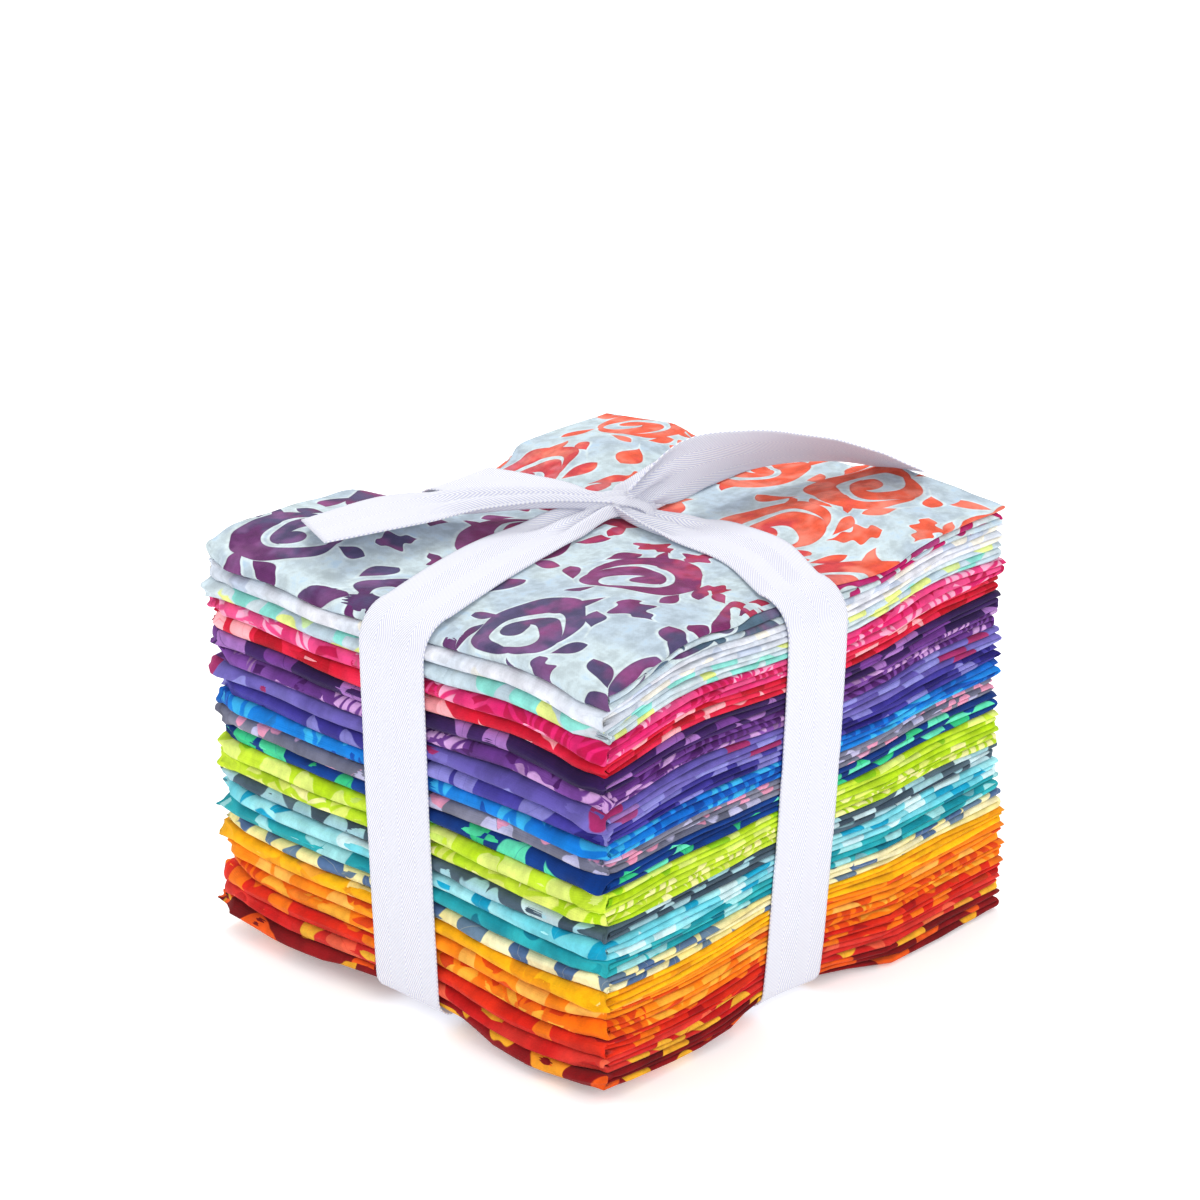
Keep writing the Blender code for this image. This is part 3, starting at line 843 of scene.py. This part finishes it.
def twill_tape(settings):
    """White herringbone twill, with painted shade in the grooves between its ribs and a faint bluish painted glow."""
    finish = Finish("ribbon_twill", 0.62)
    uv = finish.node("ShaderNodeUVMap", {"uv_map": "flat_cloth"}, {}).outputs["UV"]
    place = finish.vector("MULTIPLY", uv, (RIBBON_WIDTH / MM, RIBBON_LENGTH / MM, 1))
    across, along, _ = finish.parts(place)
    column = RIBBON_WIDTH / MM / 4
    slant = finish.maths("PINGPONG", across, column) * 1.9
    rib = finish.maths("SINE", (along + slant) * (math.tau / settings.rib / 1000))
    fine, _ = finish.noise(place, 0.5, 2)
    # Painted shade: the grooves between the ribs are coloured a darker lavender, as they would look in shade.
    ribbon_with_shaded_grooves = finish.mix(finish.ramp(rib, -0.9, 0.6), linear((192, 193, 213)), tuple(settings.ribbon_colour))
    finish.feed(finish.shader.inputs["Base Color"], ribbon_with_shaded_grooves)
    finish.weave(place, 0.5, 0.02, rib * 0.06 + fine * 0.05)
    finish.shader.inputs["Sheen Weight"].default_value = settings.sheen
    finish.shader.inputs["Specular IOR Level"].default_value = 0.3
    # Painted light: a faint bluish glow that brightens the tape's whites, its shaded parts too.
    finish.shader.inputs["Emission Color"].default_value = (0.78, 0.8, 1.0, 1)
    finish.shader.inputs["Emission Strength"].default_value = 0.2
    return finish.material


def run_rows(side):
    """One of the ribbon's four runs, from the knot over the top to where it rounds the edge: the axis it runs
    along, which way, the stack's half size that way, and rows of (place along, place across, width, lift)."""
    along, way, across_side, table = RUNS[side]
    half = HALF_X if along == "X" else HALF_Y
    edge = way * (half - PINCH - TOP_ROUND)
    rows = [[v * MM for v in row] for row in table]
    rows.append([edge, across_side + SIDE_LEANS[side][0] * MM, RIBBON_WIDTH, SIDE_CLEARANCE])
    rows = np.array(rows)
    share = np.arange(len(rows))
    weights = curve_weights(np.linspace(0, len(rows) - 1, 14 * (len(rows) - 1)), share)
    return along, way, half, weights @ rows


def in_plan(along, place, across):
    return (place, across) if along == "X" else (across, place)


def ribbon_run(side, columns):
    """Points of one run of the ribbon from the knot to the middle of the underside."""
    along, way, half, rows = run_rows(side)
    s = np.linspace(-1, 1, columns)
    points = []
    for place, across, width, lift in rows:
        x, y = in_plan(along, np.full(columns, place), across + s * width / 2)
        ups = lift + pleats(s, width)
        points.append(np.stack((x, y, cloth_top(x, y) + ups), axis=1))
    across = rows[-1][1] + s * RIBBON_WIDTH / 2
    start = way * (half - PINCH - TOP_ROUND)
    x, y = in_plan(along, np.full(columns, start), across)
    top_z = cloth_top(x, y) - TOP_ROUND
    reach = TOP_ROUND + SIDE_CLEARANCE
    for angle in np.linspace(0, math.pi / 2, 9)[1:]:
        place = np.full(columns, start + way * reach * math.sin(angle))
        x, y = in_plan(along, place, across)
        points.append(np.stack((x, y, top_z + reach * math.cos(angle)), axis=1))
    lean = (SIDE_LEANS[side][1] - SIDE_LEANS[side][0]) * MM
    foot = way * (half - PINCH - FOOT_ROUND)
    x, y = in_plan(along, np.full(columns, foot), across + lean)
    foot_z = height(UNDERSIDE, x, y) + FOOT_ROUND
    side_x, side_y = points[-1][:, 0], points[-1][:, 1]
    for share in np.linspace(0, 1, 26)[1:]:
        z = top_z + share * (foot_z - top_z)
        ripple = 0.16 * MM * noise(np.stack((side_x, side_y, z), axis=1), 31, (30, 30, 4.5))
        out_x, out_y = in_plan(along, way * ripple, lean * share**1.5)
        points.append(np.stack((side_x + out_x, side_y + out_y, z), axis=1))
    reach = FOOT_ROUND + SIDE_CLEARANCE
    for angle in np.linspace(math.pi / 2, 0, 7)[1:]:
        place = np.full(columns, foot + way * reach * math.sin(angle))
        x, y = in_plan(along, place, across + lean)
        points.append(np.stack((x, y, foot_z - reach * math.cos(angle)), axis=1))
    for share in np.linspace(0, 1, 12)[1:]:
        place = np.full(columns, foot * (1 - share))
        middle = rows[-1][1] + lean + share * (under_middle(along) - rows[-1][1] - lean)
        x, y = in_plan(along, place, middle + s * RIBBON_WIDTH / 2)
        z = np.maximum(height(UNDERSIDE, x, y) - MEAN_UNDERSIDE, 0) * (1 - share) + FOOT_LEVEL
        if along == "X":
            z += OVER_OTHER * smooth((share - 0.45) / 0.25)
        points.append(np.stack((x, y, z), axis=1))
    return np.array(points)


def under_middle(along):
    """Where a loop crosses the middle of the underside."""
    return (RIBBON_Y_LEFT + RIBBON_Y_RIGHT) / 2 if along == "X" else (RIBBON_X_FRONT + RIBBON_X_BACK) / 2


def pleats(s, width):
    """Lengthwise pleats that take up the tape where it is gathered narrow."""
    gathered = RIBBON_WIDTH / width
    slope = 2 * math.sqrt(max(gathered - 1, 0)) * smooth((gathered - 1.1) / 0.5)
    size = slope * width / (math.tau * PLEATS)
    return size * np.cos(math.pi * PLEATS * (s + 0.15))


def tail(stations, slant, columns):
    """Points of one free end, smooth through its stations, and cut at a slant."""
    stations = np.array(stations, dtype=float)
    places = np.linspace(0, len(stations) - 1, 12 * (len(stations) - 1))
    rows = curve_weights(places, np.arange(len(stations))) @ stations
    centres = rows[:, :3] * MM
    heading = np.gradient(centres, axis=0)
    heading[:, 2] = 0
    heading /= np.linalg.norm(heading, axis=1)[:, None]
    level = np.stack((heading[:, 1], -heading[:, 0], np.zeros(len(rows))), axis=1)
    upright = np.array((0, 0, 1.0))
    s = np.linspace(-1, 1, columns)
    points = []
    share = smooth((places - len(stations) + 2.4) / 1.4)
    for n, (centre, side, (_, _, _, width, tilt)) in enumerate(zip(centres, level, rows)):
        lean = math.radians(tilt)
        across = side * math.cos(lean) + upright * math.sin(lean)
        square = upright * math.cos(lean) - side * math.sin(lean)
        row = centre + np.outer(s * width / 2 * MM, across) + np.outer(pleats(s, width * MM), square)
        points.append(row + np.outer(s * slant * share[n], heading[n]))
    return np.array(points)


def knot_wrap(columns):
    """The short band that is pulled tight over the crossing."""
    way = Vector((math.cos(math.radians(KNOT_TURN)), math.sin(math.radians(KNOT_TURN)), 0))
    side = Vector((way.y, -way.x, 0))
    s = np.linspace(-1, 1, columns)
    points = []
    for angle in np.linspace(-0.62 * math.pi, 0.62 * math.pi, 25):
        centre = KNOT_CENTRE + way * KNOT_SPREAD * math.sin(angle) + Vector((0, 0, KNOT_RISE * math.cos(angle)))
        square = (way * math.sin(angle) * 0.6 + Vector((0, 0, math.cos(angle)))).normalized()
        width = KNOT_WIDTH * (1 - 0.18 * math.cos(angle))
        raised = 0.35 * pleats(s, width) + KNOT_CROWN * (1 - s * s)
        row = np.array(centre) + np.outer(s * width / 2, np.array(side)) + np.outer(raised, np.array(square))
        points.append(row)
    return np.array(points)


def tape_length(points):
    middle = points[:, points.shape[1] // 2]
    return np.linalg.norm(np.diff(middle, axis=0), axis=1).sum()


def ribbon_piece():
    """The whole tape as one mesh: four runs, two free ends and the wrap of the knot."""
    columns = 25
    lengths = [ribbon_run(side, columns) for side in RUNS]
    lengths += [tail(stations, END_SLANT[name], columns) for name, stations in TAILS.items()]
    lengths.append(knot_wrap(columns))
    made = []
    start = 0.0
    for n, points in enumerate(lengths):
        steps = np.linalg.norm(np.diff(points[:, columns // 2], axis=0), axis=1)
        along = (start + np.concatenate(((0,), np.cumsum(steps)))) / RIBBON_LENGTH
        flat = np.empty((*points.shape[:2], 2))
        flat[:, :, 0] = np.linspace(0, 1, columns)
        flat[:, :, 1] = along[:, None]
        made.append(grid_object(f"ribbon_length_{n}", points, flat))
        start += tape_length(points)
    with bpy.context.temp_override(active_object=made[0], selected_editable_objects=made):
        bpy.ops.object.join()
    piece = made[0]
    piece.name = "ribbon_tape"
    thicken(piece, TAPE, 0)
    return piece


class BundleSettings(bpy.types.PropertyGroup):
    """What a user would change about the cloth and the ribbon."""

    cloth_thickness: FloatProperty(
        name="Cloth", description="Thickness of the quilting cotton", default=0.2 * MM, unit="LENGTH"
    )
    thread: FloatProperty(
        name="Thread", description="Distance from thread to thread of the weave", default=0.36 * MM, unit="LENGTH"
    )
    mottling: FloatProperty(
        name="Mottling", description="How far the dye goes from light to dark", default=0.34, subtype="FACTOR"
    )
    sheen: FloatProperty(name="Sheen", description="Soft sheen of the fibres", default=0.05, subtype="FACTOR")
    rib: FloatProperty(
        name="Rib", description="Distance from rib to rib of the twill", default=1.25 * MM, unit="LENGTH"
    )
    ribbon_colour: FloatVectorProperty(
        name="Ribbon", description="Colour of the twill tape", default=(0.635, 0.635, 0.62), size=3, subtype="COLOR"
    )
    fine_top: BoolProperty(name="Fine top", description="A closer mesh for the top quarter", default=True)


class BUNDLE_OT_stage(bpy.types.Operator):
    """Adds the floor, the soft lights and the camera"""

    bl_idname = "bundle.stage"
    bl_label = "Stage"

    def execute(self, context):
        floor_and_lights()
        photo_camera()
        return {"FINISHED"}


class BUNDLE_OT_quarters(bpy.types.Operator):
    """Folds and prints every quarter below the top one"""

    bl_idname = "bundle.quarters"
    bl_label = "Quarters"

    def execute(self, context):
        settings = context.scene.bundle
        for number in range(2, COUNT + 1):
            dress(folded_quarter(number, 1.0, settings.cloth_thickness), number, batik(number, settings))
        return {"FINISHED"}


class BUNDLE_OT_top_quarter(bpy.types.Operator):
    """Folds the top quarter with its creases and gives it its scroll print"""

    bl_idname = "bundle.top_quarter"
    bl_label = "Top quarter"

    def execute(self, context):
        settings = context.scene.bundle
        detail = 2.2 if settings.fine_top else 1.0
        dress(folded_quarter(1, detail, settings.cloth_thickness), 1, scroll_print(settings))
        return {"FINISHED"}


class BUNDLE_OT_ribbon(bpy.types.Operator):
    """Ties the ribbon round the stack"""

    bl_idname = "bundle.ribbon"
    bl_label = "Ribbon"

    def execute(self, context):
        piece = ribbon_piece()
        piece.data.materials.append(twill_tape(context.scene.bundle))
        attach(piece, "root")
        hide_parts("ribbon")
        return {"FINISHED"}


def dress(piece, number, material):
    """Gives a quarter its cloth, hangs it from the root and hides the part of the model that it stands in for."""
    node = f"fat_quarter_{number:02d}"
    piece.data.materials.append(material)
    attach(piece, "root")
    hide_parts(node)


def floor_and_lights():
    bm = bmesh.new()
    bmesh.ops.create_grid(bm, x_segments=1, y_segments=1, size=FLOOR_SIZE)
    mesh = bpy.data.meshes.new("floor")
    bm.to_mesh(mesh)
    bm.free()
    floor = bpy.data.objects.new("floor", mesh)
    bpy.context.scene.collection.objects.link(floor)
    paper = bpy.data.materials.new("floor_paper")
    paper.use_nodes = True
    shader = paper.node_tree.nodes["Principled BSDF"]
    shader.inputs["Base Color"].default_value = (0.96, 0.96, 0.96, 1)
    shader.inputs["Roughness"].default_value = 0.9
    shader.inputs["Specular IOR Level"].default_value = 0.1
    shader.inputs["Emission Color"].default_value = (1, 1, 1, 1)
    shader.inputs["Emission Strength"].default_value = 0.2
    mesh.materials.append(paper)
    world = bpy.data.worlds.new("studio")
    world.use_nodes = True
    world.node_tree.nodes["Background"].inputs["Color"].default_value = (1, 1, 1, 1)
    world.node_tree.nodes["Background"].inputs["Strength"].default_value = 1.0
    bpy.context.scene.world = world
    for name, x, y, z, size, power in LAMPS:
        lamp = bpy.data.lights.new(name, "AREA")
        lamp.size = size
        lamp.energy = power
        holder = bpy.data.objects.new(name, lamp)
        holder.location = (x, y, z)
        aim = Vector((0, 0, 0.06)) - holder.location
        holder.rotation_euler = aim.to_track_quat("-Z", "Y").to_euler()
        bpy.context.scene.collection.objects.link(holder)
    bpy.context.scene.view_settings.view_transform = "Standard"


def photo_camera():
    azimuth = math.radians(CAMERA_AZIMUTH)
    elevation = math.radians(CAMERA_ELEVATION)
    flat = math.cos(elevation)
    back = Vector((math.sin(azimuth) * flat, -math.cos(azimuth) * flat, math.sin(elevation)))
    data = bpy.data.cameras.new("photo_camera")
    data.lens = CAMERA_LENS
    data.sensor_width = CAMERA_SENSOR
    camera = bpy.data.objects.new("photo_camera", data)
    camera.location = CAMERA_TARGET + back * CAMERA_DISTANCE
    camera.rotation_euler = back.to_track_quat("Z", "Y").to_euler()
    bpy.context.scene.collection.objects.link(camera)
    bpy.context.scene.camera = camera


class BUNDLE_PT_panel(bpy.types.Panel):
    """The steps that make the bundle"""

    bl_idname = "BUNDLE_PT_panel"
    bl_label = "Fat quarter bundle"
    bl_space_type = "VIEW_3D"
    bl_region_type = "UI"
    bl_category = "Bundle"

    def draw(self, context):
        settings = context.scene.bundle
        for name in BundleSettings.__annotations__:
            self.layout.prop(settings, name)
        for step in STEPS:
            self.layout.operator(step.bl_idname)


STEPS = (BUNDLE_OT_stage, BUNDLE_OT_top_quarter, BUNDLE_OT_quarters, BUNDLE_OT_ribbon)
CLASSES = (BundleSettings, *STEPS, BUNDLE_PT_panel)


def register():
    for made in CLASSES:
        bpy.utils.register_class(made)
    bpy.types.Scene.bundle = PointerProperty(type=BundleSettings)


def unregister():
    del bpy.types.Scene.bundle
    for made in reversed(CLASSES):
        bpy.utils.unregister_class(made)


def main():
    register()
    bpy.ops.bundle.stage()
    bpy.ops.bundle.top_quarter()
    bpy.ops.bundle.quarters()
    bpy.ops.bundle.ribbon()


if __name__ == "__main__":
    main()
